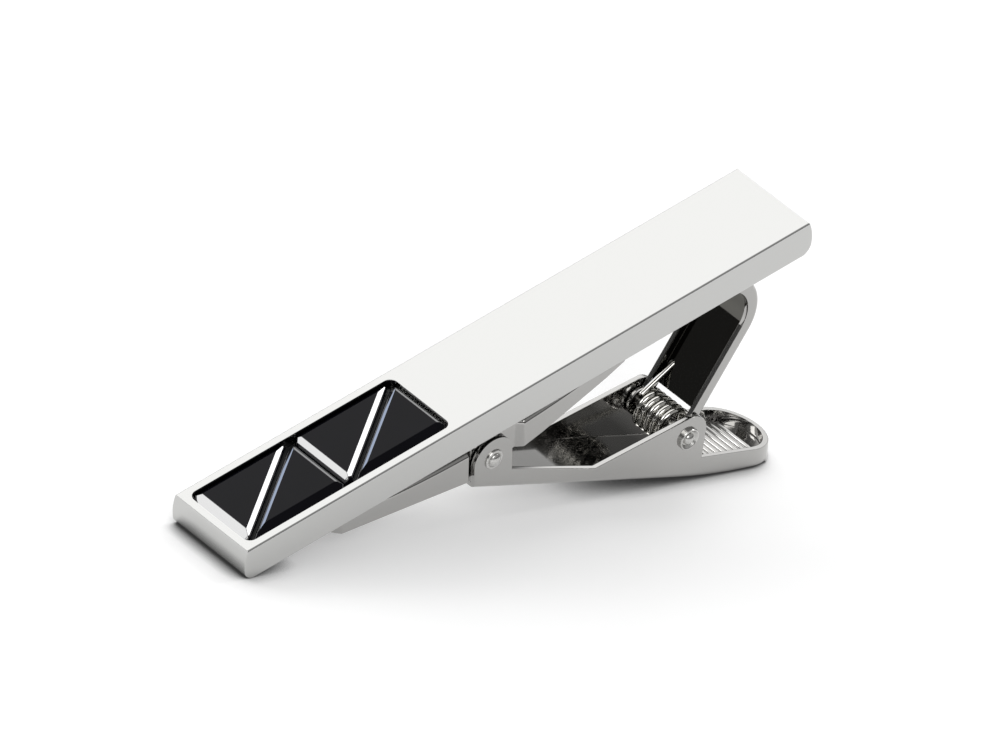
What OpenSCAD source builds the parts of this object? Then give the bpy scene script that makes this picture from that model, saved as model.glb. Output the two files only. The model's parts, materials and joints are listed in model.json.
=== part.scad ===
// Hinged tie clip: a solid bar with four black stones, and a sprung clip behind it.
// The shapes are drawn in the bar's own frame: X along the bar from its stone end, Y across it, and Z = 0
// at the bar's face, with the clip below. seated() then stands the clip on a table the way it rests.

/* [Bar] */
// Length of the bar
bar_l = 58; // [57:0.5:62]
// Width of the bar
bar_w = 8.4; // [8:0.1:9]
// Thickness of the bar
bar_t = 3.1; // [2.8:0.1:3.4]
// How far the end faces bulge out at half their height
end_bulge = 0.3; // [0.2:0.05:0.5]
// Radius of the end faces' lower edges
end_r = 1.2; // [0.8:0.1:1.3]
// Radius of the bar's long edges
edge_r = 0.15; // [0.1:0.05:0.3]

/* [Stones] */
// Length of the pocket that holds the stones
pocket_l = 20.5; // [18:0.5:22]
// Depth of the pocket
pocket_d = 1.3; // [1:0.1:1.5]
// Metal left round the pocket at the sides of the bar
pocket_rim = 0.7; // [0.6:0.05:0.9]
// Metal left between the pocket and the end of the bar
pocket_end = 1; // [0.9:0.05:1.3]
// Thickness of the black bed under the stones
bed_t = 0.3; // [0.2:0.05:0.4]
// Gap between neighbouring stones
stone_gap = 0.16; // [0.1:0.02:0.3]
// Width of the end stone's bevel that faces the end of the bar
end_bevel = 0.95; // [0.6:0.05:1]
// Width of the inner stone's bevel that faces the same way
inner_bevel = 0.6; // [0.5:0.05:1]
// Width of the bevels along the front of the pocket
front_bevel = 1; // [0.6:0.05:1.2]
// Width of the other bevels round the stones' flat tables
side_bevel = 0.5; // [0.4:0.05:0.8]
// Drop of all the bevels for each millimetre of their width
bevel_slope = 0.64; // [0.5:0.02:0.7]

/* [Clip] */
// Thickness of the pressed sheet
sheet_t = 0.45; // [0.4:0.05:0.5]
// Outside width of the lever and the jaw
clip_w = 6.4; // [6:0.1:6.8]
// Side play between the lever and what turns inside it
side_play = 0.08; // [0.06:0.02:0.1]
// Radius of the two rivets' shanks
pin_r = 0.6; // [0.5:0.05:0.65]
// Radial clearance of a part that turns on a rivet
pin_play = 0.04; // [0.02:0.01:0.06]
// Radius of the lever's rounded ears
ear_r = 1.95; // [1.85:0.05:2]
// Gap left between the closed jaw and the bar
jaw_gap = 0.05; // [0.03:0.01:0.1]
// Number of grip ribs on the thumb pad
rib_count = 8; // [5:1:9]

/* [Spring] */
// Wire diameter
wire_d = 0.5; // [0.4:0.05:0.55]
// Radius of the coil to the middle of the wire
coil_r = 1.45; // [1.3:0.05:1.5]
// Number of turns
coil_turns = 6; // [4:1:6]

/* [Hidden] */
$fn = 64;
slack = 0.02;                       // sideways room of the bed and the stones in the pocket
far = 40;                           // reach of the shapes that only cut or clip

// The bar and its pocket
bulge_r = (pow(bar_t / 2, 2) + pow(end_bulge, 2)) / (2 * end_bulge);
pocket_w = bar_w - 2 * pocket_rim;
pocket_r = 0.7;
cell_l = (pocket_l - 2 * slack - stone_gap) / 2;
cell_w = pocket_w - 2 * slack;
stone_h = pocket_d - bed_t - 0.1;   // the tables lie a tenth below the bar's face
square_cut = 0.52;                  // clears the pocket's rounded corners
acute_cut = 0.55;                   // width cut off each sharp corner of a stone

// The two pivots, and the widths of what turns between the lever's sides
jaw_pivot = [26.2, -6.6];
lever_pivot = [46.5, -16.5];
inner_w = clip_w - 2 * sheet_t;
strut_w = inner_w - 2 * side_play;

// The lever's underside: a straight run, then one long arc under the thumb pad
web_angle = -28.7;
web_start = [24.2, -8.6];
web_run = 24.3;
web_lead = 4;                       // how far the outlines of the underside begin before its start
pad_r = 60;
web_dir = [cos(web_angle), sin(web_angle)];
web_up = [-sin(web_angle), cos(web_angle)];
web_end = web_start + web_run * web_dir;
pad_centre = web_end + pad_r * web_up;
pad_tip = 56.9;                     // X of the thumb pad's rounded tip
pad_middle = pad_tip - clip_w / 2;  // X of the centre of that rounding
rim_start = [48.05, -19.45];        // where the pad's raised rim begins, behind the rear ears
rim_angle = -24;
rib_r = 0.22;
rib_pitch = 0.68;
rib_last = 2.2;                     // from the pad's tip to the rib nearest to it
rib_root = 0.15;                    // how far the ribs run into the sides

// The strut: a foot on the back of the bar, a round bend and a straight leg
bend_r = 3.9;
leg_angle = -129;
bend_centre = [50.2, -bar_t - bend_r];
foot_start = 45.5;
flange_start = 49.4;
flange_d = 1.2;
leg_dir = [cos(leg_angle), sin(leg_angle)];
leg_out = [-sin(leg_angle), cos(leg_angle)];
bend_end = bend_centre + bend_r * leg_out;
leg_run = (lever_pivot - bend_end) * leg_dir;
web_stop = 2;                       // the strut's web ends this far short of the lever pivot
boss_r = 1.25;

// The jaw: an arched web on two flanges that are deepest at the pivot
jaw_start = 10.1;
jaw_end = 40.2;
jaw_top = -bar_t - jaw_gap;
jaw_arch = 1.5;
jaw_arch_r = (pow((jaw_end - jaw_start) / 2, 2) + pow(jaw_arch, 2)) / (2 * jaw_arch);
waist = [jaw_pivot[0] - 2.03, jaw_pivot[0] + 2.6];
waist_w = inner_w - 2 * side_play;

// The rivets' domed heads
jaw_head_r = 0.85;
lever_head_r = 0.95;
head_h = 0.42;

// The spring's two straight ends: one through the strut's web, one on the floor of the thumb pad
up_leg_angle = 20.7;
up_leg_l = 4.1;
up_leg_play = 0.06;                 // radial room round that end in the strut's web
down_leg_angle = -45;
down_leg_l = 5.7;
wire_r = wire_d / 2;
coil_pitch = wire_d + 0.09;

// How the clip stands: the bar's lower end edge and the lever's long arc both touch the table
rest_span = pad_centre - [end_r, end_r - bar_t];
pitch = asin((pad_r - end_r) / norm(rest_span)) - atan2(rest_span[1], rest_span[0]);
pad_tip_low = pad_centre[1] - sqrt(pow(pad_r, 2) - pow(pad_centre[0] - pad_tip, 2));
world_left = bulge_r * cos(pitch) + bar_t / 2 * sin(pitch) - bulge_r;
world_right = pad_tip * cos(pitch) - pad_tip_low * sin(pitch);
world_low = end_r * sin(pitch) + (end_r - bar_t) * cos(pitch) - end_r;

// Carries a shape from the bar's frame to where it stands on the table, centred over the origin
module seated() {
    translate([-(world_left + world_right) / 2, 0, -world_low])
        rotate([0, -pitch, 0])
            children();
}

// A side outline, drawn in XZ, given a width across the clip
module across(width) {
    rotate([90, 0, 0])
        linear_extrude(width, center = true)
            children();
}

// A plan outline, drawn in XY, standing through the whole height of the clip
module upright() {
    translate([0, 0, -far])
        linear_extrude(far + 1)
            children();
}

// A round bar across the clip at a point of the side view
module cross_pin(at, r, width) {
    translate([at[0], 0, at[1]])
        rotate([90, 0, 0])
            cylinder(r = r, h = width, center = true);
}

// A rectangle with its four corners rounded by true arcs
module round_rect(length, width, r) {
    translate([r, 0])
        square([length - 2 * r, width]);
    translate([0, r])
        square([length, width - 2 * r]);
    for (x = [r, length - r], y = [r, width - r])
        translate([x, y])
            circle(r);
}

// ---- Bar ----

// Side outline of the bar: bulging ends, with their lower edges rounded
module bar_side() {
    intersection() {
        union() {
            translate([bulge_r, -bar_t])
                square([bar_l - 2 * bulge_r, bar_t]);
            for (x = [bulge_r, bar_l - bulge_r])
                translate([x, -bar_t / 2])
                    circle(bulge_r);
        }
        union() {
            translate([0, end_r - bar_t])
                square([bar_l, bar_t - end_r]);
            translate([end_r, -bar_t])
                square([bar_l - 2 * end_r, end_r]);
            for (x = [end_r, bar_l - end_r])
                translate([x, end_r - bar_t])
                    circle(end_r);
        }
    }
}

// Plan of the pocket, or of what lies in it with some room round it
module pocket_plan(room = 0) {
    translate([pocket_end + room, room - pocket_w / 2])
        round_rect(pocket_l - 2 * room, pocket_w - 2 * room, pocket_r - room);
}

module bar() {
    seated() color("gainsboro") difference() {
        intersection() {
            across(bar_w)
                bar_side();
            translate([-1, -bar_w / 2, -bar_t])
                rotate([90, 0, 90])
                    linear_extrude(bar_l + 2)
                        round_rect(bar_w, bar_t, edge_r);
        }
        translate([0, 0, -pocket_d])
            linear_extrude(pocket_d + 1)
                pocket_plan();
    }
}

module inlay_bed() {
    seated() color("black") translate([0, 0, -pocket_d])
        linear_extrude(bed_t)
            pocket_plan(slack);
}

// ---- Stones ----

// Plan of a stone: a right-angled triangle with its corners cut off, its square corner at the origin
module stone_plan(a, b) {
    polygon([
        [square_cut, 0], [a - acute_cut, 0], [a - acute_cut, acute_cut * b / a],
        [acute_cut * a / b, b - acute_cut], [0, b - acute_cut], [0, square_cut]
    ]);
}

// The room inside one side of a stone, which lies along X: a straight girdle, a bevel and the flat table
module beveled_side(bevel) {
    translate([-far, 0, 0])
        rotate([90, 0, 90])
            linear_extrude(2 * far)
                polygon([
                    [0, 0], [far, 0], [far, stone_h], [bevel, stone_h], [0, stone_h - bevel * bevel_slope]
                ]);
}

// A faceted stone, with its own bevel on each of its three sides
module stone_body(long_bevel, short_bevel) {
    a = cell_l - stone_gap;
    b = cell_w - stone_gap;
    intersection() {
        linear_extrude(stone_h)
            stone_plan(a, b);
        beveled_side(long_bevel);
        mirror([1, -1, 0])
            beveled_side(short_bevel);
        translate([a, 0, 0])
            rotate([0, 0, atan2(b, -a)])
                beveled_side(side_bevel);
    }
}

// The stone of a cell whose square corner is at the back and towards the end of the bar
module back_stone(cell, short_bevel) {
    x = pocket_end + slack + cell * (cell_l + stone_gap);
    seated() color("black") translate([x, cell_w / 2, bed_t - pocket_d])
        mirror([0, 1, 0])
            stone_body(side_bevel, short_bevel);
}

// The stone of a cell whose square corner is at the front and away from the end of the bar
module front_stone(cell) {
    x = pocket_end + slack + cell * (cell_l + stone_gap) + cell_l;
    seated() color("black") translate([x, -cell_w / 2, bed_t - pocket_d])
        mirror([1, 0, 0])
            stone_body(front_bevel, side_bevel);
}

module stone_end_back() {
    back_stone(0, end_bevel);
}

module stone_end_front() {
    front_stone(0);
}

module stone_inner_back() {
    back_stone(1, inner_bevel);
}

module stone_inner_front() {
    front_stone(1);
}

// ---- Strut ----

// Side view of the bent strip, from its outer face in to a depth, with its straight leg of a given length
module strut_strip(depth, leg, foot_x) {
    translate([foot_x, -bar_t - depth])
        square([bend_centre[0] - foot_x, depth]);
    intersection() {
        translate(bend_centre)
            difference() {
                circle(bend_r);
                circle(bend_r - depth);
            }
        translate(bend_centre)
            polygon([[0, 0], [0, far], [far, far], far * leg_out]);
    }
    translate(bend_end)
        rotate(leg_angle)
            translate([0, -depth])
                square([leg, depth]);
}

module strut() {
    seated() color("silver") difference() {
        union() {
            across(strut_w)
                strut_strip(sheet_t, leg_run - web_stop, foot_start);
            for (side = [-1, 1])
                translate([0, side * (strut_w - sheet_t) / 2, 0])
                    across(sheet_t) {
                        strut_strip(flange_d, leg_run, flange_start);
                        translate(lever_pivot)
                            circle(boss_r);
                    }
        }
        cross_pin(lever_pivot, pin_r + pin_play, far);
        up_leg_hole();
    }
}

// The hole in the strut's web that the spring's upper end passes through
module up_leg_hole() {
    start = coil_r * [-sin(up_leg_angle), cos(up_leg_angle)];
    translate([lever_pivot[0] + start[0], coil_pitch * coil_turns / 2, lever_pivot[1] + start[1]])
        rotate([0, 90 - up_leg_angle, 0])
            cylinder(r = wire_r + up_leg_play, h = up_leg_l + 1, $fn = 24);
}

// Solder in the corner between the bar's back and the strut's bend, and along both sides of the foot
module solder() {
    fillet = 0.3;
    wedge_l = 1.6;
    wedge_t = 0.53;
    seated() color("silver") {
        across(strut_w)
            difference() {
                translate([bend_centre[0], -bar_t - wedge_t])
                    square([wedge_l, wedge_t]);
                translate(bend_centre)
                    circle(bend_r, $fn = 128);
            }
        for (side = [0, 1])
            mirror([0, side, 0])
                translate([foot_start, strut_w / 2, -bar_t])
                    rotate([0, 90, 0])
                        linear_extrude(bend_centre[0] - foot_start)
                            polygon([[0, 0], [fillet, 0], [0, fillet]]);
    }
}

// ---- Lever ----

// Everything above the lever's underside, or above its inside when raised by the sheet's thickness
module above_web(raise) {
    from = web_start + raise * web_up - web_lead * web_dir;
    to = web_end + raise * web_up;
    polygon([from, to, [to[0], 0], [from[0], 0]]);
    intersection() {
        translate(pad_centre)
            circle(pad_r - raise, $fn = 360);
        translate([to[0], -far])
            square([far, far]);
    }
}

// Side outline of the lever: two round ears, a low rail between them and the rim of the thumb pad
module lever_side() {
    rail_front = [jaw_pivot[0] + ear_r, -8.8];
    rail_back = [36.9, -13.95];
    rim_end = rim_start + (pad_tip + 1 - rim_start[0]) / cos(rim_angle) * [cos(rim_angle), sin(rim_angle)];
    translate(jaw_pivot)
        circle(ear_r);
    translate(lever_pivot)
        circle(ear_r);
    intersection() {
        above_web(0);
        polygon([
            jaw_pivot - [ear_r, 0], [jaw_pivot[0] - ear_r, -far], [pad_tip + 1, -far], rim_end, rim_start,
            lever_pivot + [ear_r, 0], lever_pivot, lever_pivot + [0, ear_r], rail_back, rail_front,
            jaw_pivot + [ear_r, 0]
        ]);
    }
}

// Plan of the lever or of its inside: straight sides and a round tip
module tongue(width, start_x) {
    translate([start_x, -width / 2])
        square([pad_middle - start_x, width]);
    translate([pad_middle, 0])
        circle(d = width);
}

// Ribs pressed up from the floor of the thumb pad, spaced along its arc
module pad_ribs() {
    for (i = [0 : rib_count - 1]) {
        turn = asin((pad_centre[0] - pad_tip + rib_last) / pad_r) + i * rib_pitch / pad_r * 180 / PI;
        cross_pin(pad_centre - (pad_r - sheet_t) * [sin(turn), cos(turn)], rib_r, inner_w + 2 * rib_root);
    }
}

module lever() {
    seated() color("silver") intersection() {
        upright()
            tongue(clip_w, web_start[0] - web_lead);
        difference() {
            union() {
                difference() {
                    across(clip_w)
                        lever_side();
                    intersection() {
                        across(inner_w)
                            above_web(sheet_t);
                        upright()
                            tongue(inner_w, web_start[0] - 2 * web_lead);
                    }
                }
                pad_ribs();
            }
            cross_pin(jaw_pivot, pin_r, far);
            cross_pin(lever_pivot, pin_r, far);
        }
    }
}

// ---- Jaw ----

// Side outline of the jaw's flanges, deepest under the pivot
module jaw_side() {
    polygon([
        [jaw_start, -bar_t], [jaw_start, -5.05], [24.2, -7.65], [25.4, -8.1], [27, -8.1], [28.2, -7.4],
        [31.2, -6.8], [jaw_end - 2.5, -5.05], [jaw_end, -4.2], [jaw_end, -bar_t]
    ]);
}

// The round space above the arched web, or above its underside when lowered by the sheet's thickness
module jaw_arch_space(lower) {
    translate([(jaw_start + jaw_end) / 2, jaw_top - jaw_arch - lower + jaw_arch_r])
        circle(jaw_arch_r, $fn = 720);
}

// Plan of the jaw, narrow where the lever's ears pass outside it, or the same drawn in by an amount
module jaw_plan(inset) {
    half = clip_w / 2 - inset;
    neck = waist_w / 2 - inset;
    ramp = (clip_w - waist_w) / 2;
    corner = 0.6;
    xs = [jaw_start, waist[0] - ramp, waist[0], waist[1], waist[1] + ramp, jaw_end];
    upper = [
        [xs[0], half - corner], [xs[0] + corner, half], [xs[1], half], [xs[2], neck], [xs[3], neck],
        [xs[4], half], [xs[5] - corner, half], [xs[5], half - corner]
    ];
    polygon(concat(upper, [for (i = [len(upper) - 1 : -1 : 0]) [upper[i][0], -upper[i][1]]]));
}

module jaw() {
    seated() color("silver") difference() {
        intersection() {
            across(clip_w)
                difference() {
                    jaw_side();
                    jaw_arch_space(0);
                }
            upright()
                jaw_plan(0);
        }
        intersection() {
            across(far)
                difference() {
                    translate([0, -far])
                        square([2 * far, far]);
                    jaw_arch_space(sheet_t);
                }
            translate([0, 0, -far])
                linear_extrude(2 * far)
                    jaw_plan(sheet_t);
        }
        cross_pin(jaw_pivot, pin_r + pin_play, far);
    }
}

// ---- Rivets ----

// A rivet across the clip with a low domed head on each side
module rivet(at, head_r) {
    dome_r = (head_r * head_r + head_h * head_h) / (2 * head_h);
    translate([at[0], 0, at[1]])
        rotate([90, 0, 0])
            rotate_extrude()
                intersection() {
                    union() {
                        translate([0, -clip_w / 2])
                            square([pin_r, clip_w]);
                        for (side = [-1, 1])
                            intersection() {
                                translate([0, side * (clip_w / 2 + head_h - dome_r)])
                                    circle(dome_r);
                                translate([0, side > 0 ? clip_w / 2 : -clip_w / 2 - head_h])
                                    square([head_r, head_h]);
                            }
                    }
                    translate([0, -clip_w])
                        square([clip_w, 2 * clip_w]);
                }
}

module jaw_pin() {
    seated() color("silver")
        rivet(jaw_pivot, jaw_head_r);
}

module lever_pin() {
    seated() color("silver")
        rivet(lever_pivot, lever_head_r);
}

// ---- Spring ----

// Middle line of the wire: the end through the strut, the coil, and the end on the thumb pad
wire_sides = 8;
coil_step = 15;
coil_first = 90 + up_leg_angle;
coil_last = 270 + down_leg_angle - 360 * coil_turns;
coil_span = coil_last - coil_first;
coil_half = coil_pitch * coil_turns / 2;

function coil_at(k) =
    let (turn = coil_first + coil_span * k)
    [coil_r * cos(turn), coil_half * (1 - 2 * k), coil_r * sin(turn)];

function leg_point(start, angle, reach) =
    start + reach * [cos(angle), 0, sin(angle)];

coil_rings = round(-coil_span / coil_step);
wire_path = concat(
    [leg_point(coil_at(0), up_leg_angle, up_leg_l)],
    [for (i = [0 : coil_rings]) coil_at(i / coil_rings)],
    [leg_point(coil_at(1), down_leg_angle, down_leg_l)]
);

function unit(v) = v / norm(v);

// The wire lies nearly in planes across the pin, so the pin's direction squares up each ring
function wire_ring(i) =
    let (
        last = len(wire_path) - 1,
        along = unit(wire_path[min(i + 1, last)] - wire_path[max(i - 1, 0)]),
        side = unit(cross(along, [0, 1, 0])),
        up = cross(side, along)
    )
    [for (j = [0 : wire_sides - 1])
        wire_path[i] + wire_r * (cos(j * 360 / wire_sides) * side + sin(j * 360 / wire_sides) * up)];

module spring() {
    rings = len(wire_path);
    n = wire_sides;
    points = [for (i = [0 : rings - 1]) each wire_ring(i)];
    walls = [for (i = [0 : rings - 2], j = [0 : n - 1])
        [i * n + j, i * n + (j + 1) % n, (i + 1) * n + (j + 1) % n, (i + 1) * n + j]];
    caps = [[for (j = [n - 1 : -1 : 0]) j], [for (j = [0 : n - 1]) (rings - 1) * n + j]];
    seated() color("silver") translate([lever_pivot[0], 0, lever_pivot[1]])
        polyhedron(points, concat(walls, caps));
}

bar();
inlay_bed();
stone_end_back();
stone_end_front();
stone_inner_back();
stone_inner_front();
strut();
solder();
lever();
jaw();
jaw_pin();
lever_pin();
spring();
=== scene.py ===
"""A hinged tie clip: a polished bar with four black faceted stones, on its end edge and its sprung clip.

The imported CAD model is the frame. Its bar, stones and pressed parts are copied here and finished: bends
and edges get their real radii, the rivets and the spring's round wire are made again, and every surface
gets a procedural material. Sizes with no unit are in millimetres along the bar's own axes.
"""

import math

import bmesh
import bpy
from mathutils import Matrix, Vector
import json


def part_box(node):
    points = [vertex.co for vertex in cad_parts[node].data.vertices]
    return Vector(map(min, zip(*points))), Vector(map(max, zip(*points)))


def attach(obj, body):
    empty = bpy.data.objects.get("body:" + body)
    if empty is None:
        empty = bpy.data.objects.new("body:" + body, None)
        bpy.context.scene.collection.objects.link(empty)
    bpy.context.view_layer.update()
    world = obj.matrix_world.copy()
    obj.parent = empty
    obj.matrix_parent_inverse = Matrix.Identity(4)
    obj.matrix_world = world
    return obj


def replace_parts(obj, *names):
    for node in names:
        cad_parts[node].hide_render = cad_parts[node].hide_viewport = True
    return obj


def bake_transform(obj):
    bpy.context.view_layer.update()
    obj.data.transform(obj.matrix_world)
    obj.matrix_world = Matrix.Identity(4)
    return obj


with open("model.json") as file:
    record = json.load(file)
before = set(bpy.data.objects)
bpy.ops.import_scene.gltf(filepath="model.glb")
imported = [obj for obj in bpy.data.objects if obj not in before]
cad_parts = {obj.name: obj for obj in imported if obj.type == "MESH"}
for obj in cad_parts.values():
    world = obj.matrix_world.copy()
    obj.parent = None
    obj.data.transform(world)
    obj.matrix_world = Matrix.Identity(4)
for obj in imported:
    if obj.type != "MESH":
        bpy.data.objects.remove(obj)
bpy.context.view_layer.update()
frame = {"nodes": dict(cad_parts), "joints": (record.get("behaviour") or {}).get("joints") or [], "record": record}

scene = bpy.context.scene
MM = 0.001
BAR_BODY = "bar_and_strut"

# ----------------------------------------------------------------------------------------------------
# The bar's own axes
# ----------------------------------------------------------------------------------------------------

MOUNTS = {m["name"]: m for m in frame["record"]["mounts"]}
JOINTS = {j["name"]: j for j in frame["joints"]}
FACE_UP = Vector(MOUNTS["bar_face"]["axis"]).normalized()
ACROSS = Vector((0, 1, 0))
ALONG = ACROSS.cross(FACE_UP).normalized()
FACE_MARK = 40 * MM                     # from the bar's stone end to the bar_face mount
BAR_START = Vector(MOUNTS["bar_face"]["pos_m"]) - FACE_MARK * ALONG
LEVER_PIVOT = Vector(JOINTS["lever_hinge"]["pos_m"])
JAW_PIVOT = Vector(JOINTS["jaw_swivel"]["pos_m"])
TO_BAR = Matrix((ALONG, ACROSS, FACE_UP))   # turns a direction of the row frame into the bar's axes


def on_bar(x, y, z):
    """A place given in millimetres along, across and above the bar's face, in the row frame."""
    return BAR_START + MM * (x * ALONG + y * ACROSS + z * FACE_UP)


def bar_coords(point):
    """The millimetres along, across and above the bar's face of a point in the row frame."""
    return TO_BAR @ (Vector(point) - BAR_START) / MM


# ----------------------------------------------------------------------------------------------------
# Camera, light and table
# ----------------------------------------------------------------------------------------------------

IMAGE_W = 1000
SENSOR = 36.0
LENS = 800.0
PIXELS_PER_MM = 13.045
CAMERA_AZIMUTH = -52.6
CAMERA_ELEVATION = 26.25
CAMERA_ROLL = 19.1
CAMERA_CENTRE = on_bar(30.97, 1.55, -3.29)   # what the middle of the picture looks at
NEAREST = 0.1                           # what the camera sees, as shares of its distance
FURTHEST = 10


def make_camera():
    """A long lens, so far off that the clip's edges stay nearly parallel."""
    data = bpy.data.cameras.new("camera")
    data.lens = LENS
    data.sensor_width = SENSOR
    camera = bpy.data.objects.new("camera", data)
    scene.collection.objects.link(camera)
    azimuth = math.radians(CAMERA_AZIMUTH)
    elevation = math.radians(CAMERA_ELEVATION)
    level = math.cos(elevation)
    back = Vector((math.sin(azimuth) * level, -math.cos(azimuth) * level, math.sin(elevation)))
    distance = IMAGE_W / SENSOR * LENS / PIXELS_PER_MM * MM
    roll = Matrix.Rotation(math.radians(CAMERA_ROLL), 3, "Z")
    turn = (-back).to_track_quat("-Z", "Y").to_matrix() @ roll
    camera.matrix_world = Matrix.Translation(CAMERA_CENTRE + distance * back) @ turn.to_4x4()
    data.clip_start = NEAREST * distance
    data.clip_end = FURTHEST * distance
    bpy.context.scene.camera = camera


make_camera()
scene.view_settings.view_transform = "Standard"

LIGHT_DISTANCE = 0.6                    # metres from the clip


def area_light(name, toward, size, radiance, colour=(1, 1, 1)):
    """A soft box in a direction from the clip, with its brightness given as it would show in a mirror."""
    data = bpy.data.lights.new(name, "AREA")
    data.shape = "RECTANGLE"
    data.size, data.size_y = size
    data.color = colour
    data.energy = radiance * math.pi * size[0] * size[1]
    light = bpy.data.objects.new(name, data)
    direction = Vector(toward).normalized()
    light.location = LIGHT_DISTANCE * direction
    light.rotation_mode = "QUATERNION"
    light.rotation_quaternion = (-direction).to_track_quat("-Z", "Y")
    scene.collection.objects.link(light)


# The key shows in the stones' slanted bevels, the back box in the bevels that face the stone end, and the
# cool strip as thin blue lines behind the slanted bevels. The fill lightens the side nearest the camera.
area_light("key_right", (0.68, -0.05, 0.73), (0.14, 0.14), 8)
area_light("box_back_left", (-0.66, 0.55, 0.51), (0.18, 0.18), 5)
area_light("cool_strip", (0.15, 0.97, 0.19), (0.2, 0.06), 2.5, (0.62, 0.74, 1.0))
area_light("fill_camera_side", (-0.45, -0.62, 0.64), (0.3, 0.3), 3.5)

DOME_AXIS = Vector((0.2, 0.75, 0.63)).normalized()   # the middle of the large overhead box, behind the clip
DOME_EDGE = (0.55, 0.9)                 # the cosines from that axis between which the box fades in
DOME_RADIANCE = 2.1
ROOM_RADIANCE = 0.5                     # the rest of the room, above and in front of the clip
HORIZON = (0.14, 0.38)                  # the heights of a direction between which the dark horizon ends
HORIZON_RADIANCE = 0.1


def smooth_step(tree, source, start, end, low=0.0, high=1.0):
    """A value that goes smoothly from low to high as another goes from start to end."""
    step = tree.nodes.new("ShaderNodeMapRange")
    step.interpolation_type = "SMOOTHSTEP"
    step.inputs["From Min"].default_value = start
    step.inputs["From Max"].default_value = end
    step.inputs["To Min"].default_value = low
    step.inputs["To Max"].default_value = high
    tree.links.new(source, step.inputs["Value"])
    return step.outputs["Result"]


def make_world():
    """A bright box overhead behind the clip, in a grey room; the camera sees white past the table."""
    world = bpy.data.worlds.new("studio")
    scene.world = world
    world.use_nodes = True
    tree = world.node_tree
    nodes, links = tree.nodes, tree.links
    nodes.clear()
    coords = nodes.new("ShaderNodeTexCoord")
    toward = nodes.new("ShaderNodeVectorMath")
    toward.operation = "DOT_PRODUCT"
    toward.inputs[1].default_value = DOME_AXIS
    links.new(coords.outputs["Generated"], toward.inputs[0])
    dome = smooth_step(tree, toward.outputs["Value"], *DOME_EDGE, ROOM_RADIANCE, DOME_RADIANCE)
    split = nodes.new("ShaderNodeSeparateXYZ")
    links.new(coords.outputs["Generated"], split.inputs[0])
    above = smooth_step(tree, split.outputs["Z"], *HORIZON)
    sky = nodes.new("ShaderNodeMath")
    sky.operation = "MULTIPLY"
    links.new(dome, sky.inputs[0])
    links.new(above, sky.inputs[1])
    level = nodes.new("ShaderNodeMath")
    level.operation = "MAXIMUM"
    level.inputs[1].default_value = HORIZON_RADIANCE
    links.new(sky.outputs[0], level.inputs[0])
    lit = nodes.new("ShaderNodeBackground")
    links.new(level.outputs[0], lit.inputs["Strength"])
    seen = nodes.new("ShaderNodeBackground")
    seen.inputs["Color"].default_value = (1, 1, 1, 1)
    path = nodes.new("ShaderNodeLightPath")
    mix = nodes.new("ShaderNodeMixShader")
    links.new(path.outputs["Is Camera Ray"], mix.inputs["Fac"])
    links.new(lit.outputs[0], mix.inputs[1])
    links.new(seen.outputs[0], mix.inputs[2])
    out = nodes.new("ShaderNodeOutputWorld")
    links.new(mix.outputs[0], out.inputs["Surface"])


make_world()


def surface(name):
    """A new node material, with its nodes, its links and its shader."""
    material = bpy.data.materials.new(name)
    material.use_nodes = True
    tree = material.node_tree
    return material, tree.nodes, tree.links, tree.nodes["Principled BSDF"]


FLOOR_SIZE = 4                          # metres
FLOOR_DROP = 0.02 * MM                  # keeps the table just clear of what stands on it
FLOOR_ROUGHNESS = 0.6
FLOOR_GLOW = 0.35                       # the white table is lit a little from below: its shadows stay pale
CONTACT_REACH = 2.2 * MM                # how near the table's dark contact shadows lie
CONTACT_SAMPLES = 8
CONTACT_STOPS = ((0.25, 0.06), (0.78, 0.76))   # how open to the sky the table is, and how pale it then is


def make_floor():
    """A white table whose colour and glow darken where something stands close over it: a painted contact shadow.
    """
    bpy.ops.mesh.primitive_plane_add(size=FLOOR_SIZE, location=(0, 0, -FLOOR_DROP))
    floor = bpy.context.object
    floor.name = "floor"
    material, nodes, links, shader = surface("floor_white")
    shader.inputs["Roughness"].default_value = FLOOR_ROUGHNESS
    shader.inputs["Emission Strength"].default_value = FLOOR_GLOW
    open_sky = nodes.new("ShaderNodeAmbientOcclusion")
    open_sky.samples = CONTACT_SAMPLES
    open_sky.inputs["Distance"].default_value = CONTACT_REACH
    shade = nodes.new("ShaderNodeValToRGB")
    for stop, (openness, level) in zip(shade.color_ramp.elements, CONTACT_STOPS):
        stop.position = openness
        stop.color = (level, level, level, 1)
    # The occlusion darkens the table's colour and glow: painted contact shadow
    links.new(open_sky.outputs["AO"], shade.inputs["Fac"])
    links.new(shade.outputs["Color"], shader.inputs["Base Color"])
    links.new(shade.outputs["Color"], shader.inputs["Emission Color"])
    floor.data.materials.append(material)


make_floor()

# ----------------------------------------------------------------------------------------------------
# Materials
# ----------------------------------------------------------------------------------------------------

GRAIN = 400.0                           # the scale of the haze on polished metal, per metre
HAZE_DETAIL = 6
WAVE_DETAIL = 2
WAVE_DEPTH = 0.1 * MM                   # the height of a buffed surface's waves at full bump
CLOUD_SCALE = 350
CLOUD_DETAIL = 4


def noise(nodes, links, coords, scale, detail):
    """A noise texture that is fixed to the piece."""
    texture = nodes.new("ShaderNodeTexNoise")
    texture.inputs["Scale"].default_value = scale
    texture.inputs["Detail"].default_value = detail
    links.new(coords.outputs["Object"], texture.inputs["Vector"])
    return texture.outputs["Fac"]


def vary_polish(nodes, links, source, smoothest, roughest, shader):
    """Lets a texture vary the roughness between two values."""
    spread = nodes.new("ShaderNodeMapRange")
    spread.inputs["To Min"].default_value = smoothest
    spread.inputs["To Max"].default_value = roughest
    links.new(source, spread.inputs["Value"])
    links.new(spread.outputs["Result"], shader.inputs["Roughness"])


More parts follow.
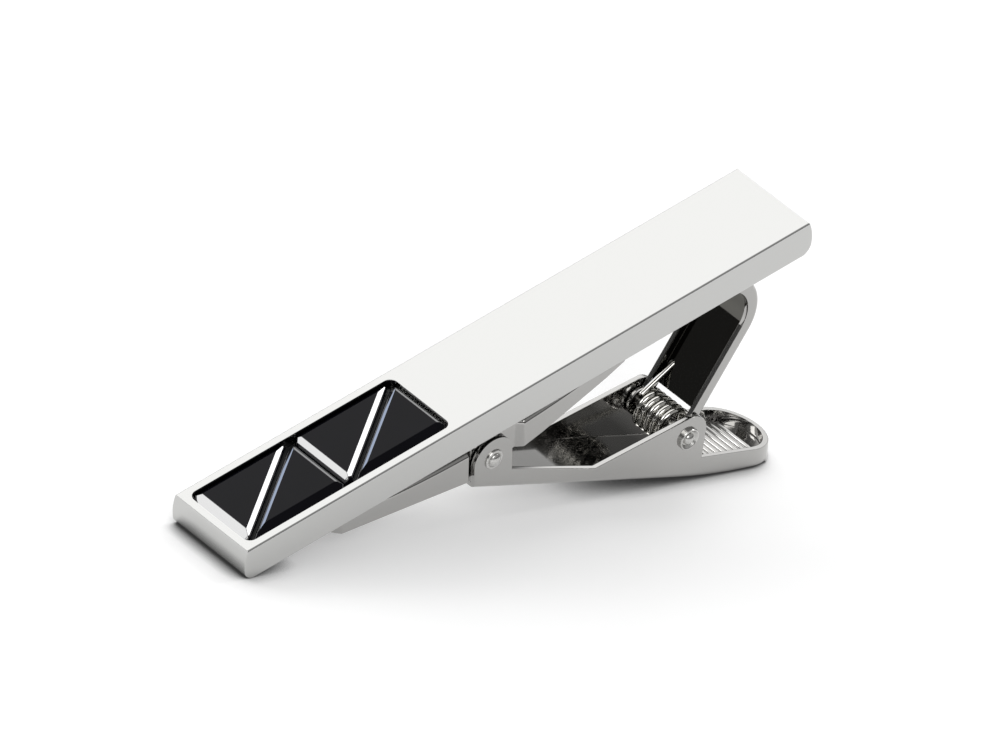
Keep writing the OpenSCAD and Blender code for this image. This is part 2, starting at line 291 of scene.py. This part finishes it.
def metal(name, colour, rough, bump, uneven=0.05):
    """A plated metal whose polish varies a little, with fine haze and the faint waviness of buffing."""
    material, nodes, links, shader = surface(name)
    shader.inputs["Base Color"].default_value = (*colour, 1)
    shader.inputs["Metallic"].default_value = 1.0
    coords = nodes.new("ShaderNodeTexCoord")
    haze = noise(nodes, links, coords, GRAIN, HAZE_DETAIL)
    vary_polish(nodes, links, haze, rough, rough + uneven, shader)
    bumps = nodes.new("ShaderNodeBump")
    bumps.inputs["Strength"].default_value = bump
    bumps.inputs["Distance"].default_value = WAVE_DEPTH
    links.new(noise(nodes, links, coords, GRAIN / 2, WAVE_DETAIL), bumps.inputs["Height"])
    links.new(bumps.outputs["Normal"], shader.inputs["Normal"])
    return material


def black_glass(name, dark, pale, index, gloss, rough):
    """Black glass with a barely uneven depth of colour and polish."""
    material, nodes, links, shader = surface(name)
    shader.inputs["IOR"].default_value = index
    shader.inputs["Specular IOR Level"].default_value = gloss
    coords = nodes.new("ShaderNodeTexCoord")
    cloud = noise(nodes, links, coords, CLOUD_SCALE, CLOUD_DETAIL)
    ramp = nodes.new("ShaderNodeValToRGB")
    ramp.color_ramp.elements[0].color = (*dark, 1)
    ramp.color_ramp.elements[1].color = (*pale, 1)
    links.new(cloud, ramp.inputs["Fac"])
    links.new(ramp.outputs["Color"], shader.inputs["Base Color"])
    vary_polish(nodes, links, cloud, rough, 2 * rough, shader)
    return material


MATERIALS = {
    "plated_bar": metal("polished_bar", (0.53, 0.53, 0.52), 0.05, uneven=0.03, bump=0.004),
    "plated_sheet": metal("nickel_sheet", (0.41, 0.405, 0.395), 0.07, bump=0.03),
    # The bar's back: a duller satin polish, with its colour darkened as painted shade, which also darkens what
    # reflects it
    "satin_and_painted_shade_back": metal("satin_painted_shade_back", (0.25, 0.25, 0.245), 0.2, uneven=0.15, bump=0.05),
    # The strut's inner faces: near-black metal as painted shade
    "painted_shade_inside": metal("nickel_painted_shade_inside", (0.1, 0.098, 0.09), 0.03, bump=0.03),
    "rivet_metal": metal("rivet_nickel", (0.55, 0.545, 0.53), 0.25, bump=0.05),
    "spring_wire": metal("spring_nickel", (0.6, 0.59, 0.56), 0.08, bump=0.03),
    "solder": metal("solder_silver", (0.5, 0.5, 0.48), 0.3, uneven=0.2, bump=0.3),
    "black_resin": black_glass("black_bed", (0.002, 0.002, 0.002), (0.006, 0.006, 0.006),
                               index=1.5, gloss=0.3, rough=0.25),
    "black_stone": black_glass("stone_table", (0.001, 0.001, 0.002), (0.003, 0.003, 0.005),
                               index=1.5, gloss=0.1, rough=0.02),
    "stone_bevel": black_glass("stone_bevel", (0.001, 0.001, 0.002), (0.002, 0.002, 0.004),
                               index=2.2, gloss=0.5, rough=0.01),
}

# ----------------------------------------------------------------------------------------------------
# Finishing the CAD shapes
# ----------------------------------------------------------------------------------------------------

WELD = 0.001 * MM
SLIVER = 0.02 * MM                      # shorter edges are closed up, because they would pinch a bevel
FLAT_ANGLE = math.radians(0.2)
SHARP_ANGLE = math.radians(28)
EDGE_STEPS = 2
BORE_REACH = 0.8                        # how far from a rivet's axis the rim of its hole reaches
FLAT_WEIGHT = 100                       # large flat faces decide the shading next to rounded edges


def fold_angle(edge):
    """How far the surface turns at an edge: positive over a ridge, negative in a corner."""
    return edge.calc_face_angle_signed(0.0) if len(edge.link_faces) == 2 else 0.0


def up_of(face):
    """How far a face looks up from the bar's face: 1 straight up, 0 sideways, -1 straight down."""
    return face.normal.dot(FACE_UP)


def middle_of(element):
    """The middle of an edge or a face, in the bar's axes."""
    verts = element.verts
    return bar_coords(sum((v.co for v in verts), Vector()) / len(verts))


def cad_copy(node, sliver=SLIVER):
    """The CAD node's shape as one welded mesh of clean flat faces, with no edge shorter than a sliver."""
    shape = bmesh.new()
    shape.from_mesh(frame["nodes"][node].data)
    bmesh.ops.remove_doubles(shape, verts=shape.verts, dist=WELD)
    bmesh.ops.dissolve_limit(shape, angle_limit=FLAT_ANGLE, verts=shape.verts, edges=shape.edges)
    bmesh.ops.dissolve_degenerate(shape, dist=sliver, edges=shape.edges)
    shape.normal_update()
    return shape


def bevel(shape, edges, width, steps=1):
    """Cuts edges back by a width, to one flat facet or to a rounding of several steps."""
    bmesh.ops.bevel(shape, geom=edges, offset=width * MM, offset_type="OFFSET", segments=steps, profile=0.5,
                    affect="EDGES", clamp_overlap=False)
    bmesh.ops.dissolve_degenerate(shape, dist=WELD, edges=shape.edges)
    shape.normal_update()


def is_bore_rim(edge):
    """An edge round a rivet's hole, which the rivet's head covers."""
    at = middle_of(edge)
    pivots = (bar_coords(JAW_PIVOT), bar_coords(LEVER_PIVOT))
    return any(math.hypot(at.x - pivot.x, at.z - pivot.z) < BORE_REACH for pivot in pivots)


def round_edges(shape, width, steps=EDGE_STEPS, chosen=lambda edge: True):
    """Rounds the sharp edges that are chosen, apart from the rims of the rivets' holes."""
    sharp = [e for e in shape.edges if abs(fold_angle(e)) > SHARP_ANGLE and not is_bore_rim(e)]
    bevel(shape, [e for e in sharp if chosen(e)], width, steps)


def as_piece(name, shape, slots, body, smooth_flats=True):
    """Turns a mesh in the row frame into a piece of the clip, shaded smooth between its sharp edges."""
    for face in shape.faces:
        face.smooth = True
    for edge in shape.edges:
        edge.smooth = abs(fold_angle(edge)) < SHARP_ANGLE
    mesh = bpy.data.meshes.new(name)
    shape.to_mesh(mesh)
    shape.free()
    for key in slots:
        mesh.materials.append(MATERIALS[key])
    piece = bpy.data.objects.new(name, mesh)
    scene.collection.objects.link(piece)
    if smooth_flats:
        flats = piece.modifiers.new("true_flats", "WEIGHTED_NORMAL")
        flats.keep_sharp = True
        flats.weight = FLAT_WEIGHT
    if body:
        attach(piece, body)
    return piece


# ---- The bar ----

BAR_EDGE = 0.06                         # the rounding of the bar's edges
UNDERSIDE = -0.9                        # a face that looks up less than this is the bar's back


def make_bar():
    """The bar, whose back has a duller satin polish and a darker colour that is painted shade."""
    shape = cad_copy("bar", WELD)
    round_edges(shape, BAR_EDGE)
    for face in shape.faces:
        # Faces that look down get the darker back colour: painted shade
        face.material_index = 1 if up_of(face) < UNDERSIDE else 0
    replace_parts(as_piece("bar_polished", shape, ["plated_bar", "satin_and_painted_shade_back"], BAR_BODY), "bar")


# ---- The stones ----

CHAMFER = 0.16                          # the narrow facet under a wide bevel
CREST = 0.12                            # the narrow facet over a bevel that looks to the plain end
BREAK = 0.02                            # what is taken off every ridge at the end
RIDGE_ANGLE = math.radians(15)
TABLE = 0.97                            # a face that looks up more than this is part of the flat table
STEEPEST_BEVEL = 0.5                    # a face that looks up less than this is below the bevels
END_BEVEL = 0.5                         # a bevel that looks along the bar more than this isn't slanted
LEANS_ALONG = 0.2                       # a facet that looks along the bar more than this catches a light


def is_girdle(edge):
    """An edge between a wide bevel and the straight side under it."""
    low, high = sorted(up_of(f) for f in edge.link_faces)
    return round(low, 1) == 0 and STEEPEST_BEVEL < high < TABLE


def is_crest(edge):
    """An edge between the table and the bevel that looks straight to the bar's plain end."""
    faces = edge.link_faces
    return max(up_of(f) for f in faces) > TABLE and max(f.normal.dot(ALONG) for f in faces) > END_BEVEL


def make_stone(node):
    """A stone with narrow facets between its wide bevels and its sides, and along its inner crest."""
    shape = cad_copy(node)
    bevel(shape, [e for e in shape.edges if is_girdle(e)], CHAMFER)
    bevel(shape, [e for e in shape.edges if is_crest(e)], CREST)
    bevel(shape, [e for e in shape.edges if fold_angle(e) > RIDGE_ANGLE], BREAK)
    for face in shape.faces:
        bright = abs(face.normal.dot(ALONG)) > LEANS_ALONG and up_of(face) < TABLE
        face.material_index = 1 if bright else 0
    piece = as_piece(node + "_cut", shape, ["black_stone", "stone_bevel"], BAR_BODY)
    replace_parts(piece, node)


# ---- The pressed sheet parts ----

SHEET_EDGE = 0.07                       # the rounding of a sheet's cut edges
LEVER_BEND = 0.5                        # the outer radii of the bends
JAW_BEND = 0.4
STRUT_BEND = 0.35
BEND_STEPS = 4
STRUT_BEND_STEPS = 3
LEVER_SIDE = 2.9                        # the lever's outer bends lie further out than this
STRUT_SIDE = 2.6                        # and the strut's further than this
STRUT_INSIDE = 2.3                      # the strut's inner faces lie nearer the middle than this
LEVEL = 0.5                             # a face that looks up or down more than this is a floor or a top
UPRIGHT = 0.3                           # a face that looks up or down less than this is a wall
LEG_ANGLE = math.radians(-129)          # the direction of the strut's straight leg
LEG_OUTWARD = Vector((-math.sin(LEG_ANGLE), 0, math.cos(LEG_ANGLE)))
SIDE_LOOK = 0.9                         # a face that looks across the bar more than this is a side
WEB_LOOK = 0.1                          # and one that looks across it less than this is the strut's web
WEB_OUTSIDE = 0.3                       # a web that looks outward more than this is the web's outside
WEB_INSIDE = -0.5                       # and one that looks outward less than this is its inside


def is_lower_bend(edge):
    """An edge between a side wall and the underside of a channel that opens upward."""
    low, high = sorted(up_of(f) for f in edge.link_faces)
    return low < -LEVEL and abs(high) < UPRIGHT


def is_upper_bend(edge):
    """An edge between a side wall and the top of a channel that opens downward."""
    low, high = sorted(up_of(f) for f in edge.link_faces)
    return high > LEVEL and abs(low) < UPRIGHT


def is_web_edge(edge):
    """An edge between a side of the strut and the outside of its bend or leg."""
    looks = [TO_BAR @ f.normal for f in edge.link_faces]
    sides = [n for n in looks if abs(n.y) > SIDE_LOOK]
    webs = [n for n in looks if abs(n.y) < WEB_LOOK and n.dot(LEG_OUTWARD) > WEB_OUTSIDE]
    return len(sides) == 1 and len(webs) == 1


def pressed(node, bend_r, steps, is_bend):
    """A pressed part, with its outer bends rounded to their radius and then its cut edges."""
    shape = cad_copy(node)
    round_edges(shape, bend_r, steps, lambda e: fold_angle(e) > 0 and is_bend(e))
    round_edges(shape, SHEET_EDGE)
    return shape


def make_lever():
    """The lever, whose bends are along its side walls and not round its ribs."""
    shape = pressed("lever", LEVER_BEND, BEND_STEPS,
                    lambda e: is_lower_bend(e) and abs(middle_of(e).y) > LEVER_SIDE)
    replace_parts(as_piece("lever_pressed", shape, ["plated_sheet"], "lever"), "lever")


def make_jaw():
    """The jaw, a channel that opens downward."""
    shape = pressed("jaw", JAW_BEND, BEND_STEPS, is_upper_bend)
    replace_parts(as_piece("jaw_pressed", shape, ["plated_sheet"], "jaw"), "jaw")


def make_strut():
    """The strut, whose inner faces get a near-black metal colour as painted shade."""
    shape = pressed("strut", STRUT_BEND, STRUT_BEND_STEPS,
                    lambda e: abs(middle_of(e).y) > STRUT_SIDE and is_web_edge(e))
    for face in shape.faces:
        side = middle_of(face).y
        look = TO_BAR @ face.normal
        looks_in = look.dot(LEG_OUTWARD) < WEB_INSIDE or look.y * side < 0
        # Inner faces get the near-black metal: painted shade
        face.material_index = 1 if abs(side) < STRUT_INSIDE and looks_in else 0
    piece = as_piece("strut_pressed", shape, ["plated_sheet", "painted_shade_inside"], BAR_BODY)
    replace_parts(piece, "strut")


# ---- The rivets ----

RIVET_SIDES = 48
SHANK_R = 0.6
SEAT_DEPTH = 0.05                       # how far the head's seat reaches into the sheet
HEAD_H = 0.42
DOME_STEPS = 12
JAW_DOME_R = 0.58
LEVER_DOME_R = 0.52
# The heads' rims from their outer edge inward, as radii and heights: one is shallow, the other is dished
JAW_RIM = ((0.85, 0.08), (0.81, 0.13), (0.66, 0.14), (0.62, 0.1))
LEVER_RIM = ((0.95, 0.2), (0.91, 0.27), (0.84, 0.28), (0.78, 0.24), (0.68, 0.08), (0.6, 0.03))


def rivet_end(rim, dome_r):
    """Half a rivet's outline, from its shank to the top of its dome, as radii and heights off the sheet."""
    foot = rim[-1][1]
    slopes = [math.pi / 2 * i / DOME_STEPS for i in range(DOME_STEPS)]
    dome = [(dome_r * math.cos(a), foot + (HEAD_H - foot) * math.sin(a)) for a in slopes]
    return [(SHANK_R, -SEAT_DEPTH), (rim[0][0], -SEAT_DEPTH), *rim, *dome, (0.0, HEAD_H)]


def make_rivet(node, at, rim, dome_r):
    """A rivet: a shank across the clip with a rim and a dome inside it at each end."""
    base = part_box(node)[1][1] - HEAD_H * MM
    half = [(r * MM, base + up * MM) for r, up in rivet_end(rim, dome_r)]
    outline = [(r, -y) for r, y in reversed(half)] + half
    shape = bmesh.new()
    rings = []
    for r, y in outline:
        sides = RIVET_SIDES if r > 0 else 1
        turns = [2 * math.pi * k / sides for k in range(sides)]
        ring = [at + Vector((r * math.cos(a), y, r * math.sin(a))) for a in turns]
        rings.append([shape.verts.new(point) for point in ring])
    for one, two in zip(rings, rings[1:]):
        for k in range(RIVET_SIDES):
            n = (k + 1) % RIVET_SIDES
            corners = [one[k % len(one)], one[n % len(one)], two[n % len(two)], two[k % len(two)]]
            shape.faces.new(dict.fromkeys(corners))
    bmesh.ops.recalc_face_normals(shape, faces=shape.faces)
    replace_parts(as_piece(node + "_turned", shape, ["rivet_metal"], "lever", False), node)


# ---- The spring ----

WIRE_R = 0.25
WIRE_END = 0.06                         # the rounding of the wire's cut ends
WIRE_SIDES = 20
COIL_R = 1.45                           # to the middle of the wire
COIL_TURNS = 6
COIL_PITCH = 0.59
HALF_COIL = COIL_PITCH * COIL_TURNS / 2
TURN_STEPS = 48
UP_LEG_ANGLE = 20.7                     # the leg on the strut, in degrees above the bar's length
UP_LEG_LENGTH = 4.1
DOWN_LEG_ANGLE = -45                    # the leg on the lever
DOWN_LEG_LENGTH = 5.7
LEG_STEPS = 12


def leg(start, angle, length):
    """The straight wire from an end of the coil, at an angle to the bar's length."""
    way = Vector((math.cos(math.radians(angle)), 0, math.sin(math.radians(angle))))
    return [start + way * length * k / LEG_STEPS for k in range(1, LEG_STEPS + 1)]


def wire_path():
    """The wire's middle about the rear rivet: the leg on the strut, the coil, the leg on the lever."""
    first = math.radians(90 + UP_LEG_ANGLE)
    last = math.radians(270 + DOWN_LEG_ANGLE - 360 * COIL_TURNS)
    steps = round((first - last) / (2 * math.pi) * TURN_STEPS)
    coil = []
    for i in range(steps + 1):
        turn = first + (last - first) * i / steps
        side = HALF_COIL * (1 - 2 * i / steps)
        coil.append(Vector((COIL_R * math.cos(turn), side, COIL_R * math.sin(turn))))
    up_leg = leg(coil[0], UP_LEG_ANGLE, UP_LEG_LENGTH)
    return up_leg[::-1] + coil + leg(coil[-1], DOWN_LEG_ANGLE, DOWN_LEG_LENGTH)


def make_spring():
    """The spring as one round wire: a leg on the strut, a coil round the rear rivet and a leg on the lever."""
    pivot = bar_coords(LEVER_PIVOT)
    path = wire_path()
    shape = bmesh.new()
    rings = []
    for i, point in enumerate(path):
        along = (path[min(i + 1, len(path) - 1)] - path[max(i - 1, 0)]).normalized()
        side = along.cross(ACROSS).normalized()
        up = side.cross(along)
        ring = []
        for k in range(WIRE_SIDES):
            turn = 2 * math.pi * k / WIRE_SIDES
            rim = WIRE_R * (math.cos(turn) * side + math.sin(turn) * up)
            ring.append(shape.verts.new(on_bar(*(pivot + point + rim))))
        rings.append(ring)
    for one, two in zip(rings, rings[1:]):
        for k in range(WIRE_SIDES):
            n = (k + 1) % WIRE_SIDES
            shape.faces.new((one[k], one[n], two[n], two[k]))
    for ring in (rings[0], rings[-1]):
        shape.faces.new(ring)
    bmesh.ops.recalc_face_normals(shape, faces=shape.faces)
    round_edges(shape, WIRE_END)
    piece = as_piece("spring_wound", shape, ["spring_wire"], None, False)
    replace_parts(piece, "spring")
    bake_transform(piece)


make_bar()
for stone in ("stone_end_back", "stone_end_front", "stone_inner_back", "stone_inner_front"):
    make_stone(stone)
make_lever()
make_jaw()
make_strut()
make_rivet("jaw_pin", JAW_PIVOT, JAW_RIM, JAW_DOME_R)
make_rivet("lever_pin", LEVER_PIVOT, LEVER_RIM, LEVER_DOME_R)
make_spring()

# The bed under the stones and the solder keep their CAD shapes
for name, slot in (("inlay_bed", "black_resin"), ("solder", "solder")):
    node = frame["nodes"][name]
    node.data.materials.clear()
    node.data.materials.append(MATERIALS[slot])
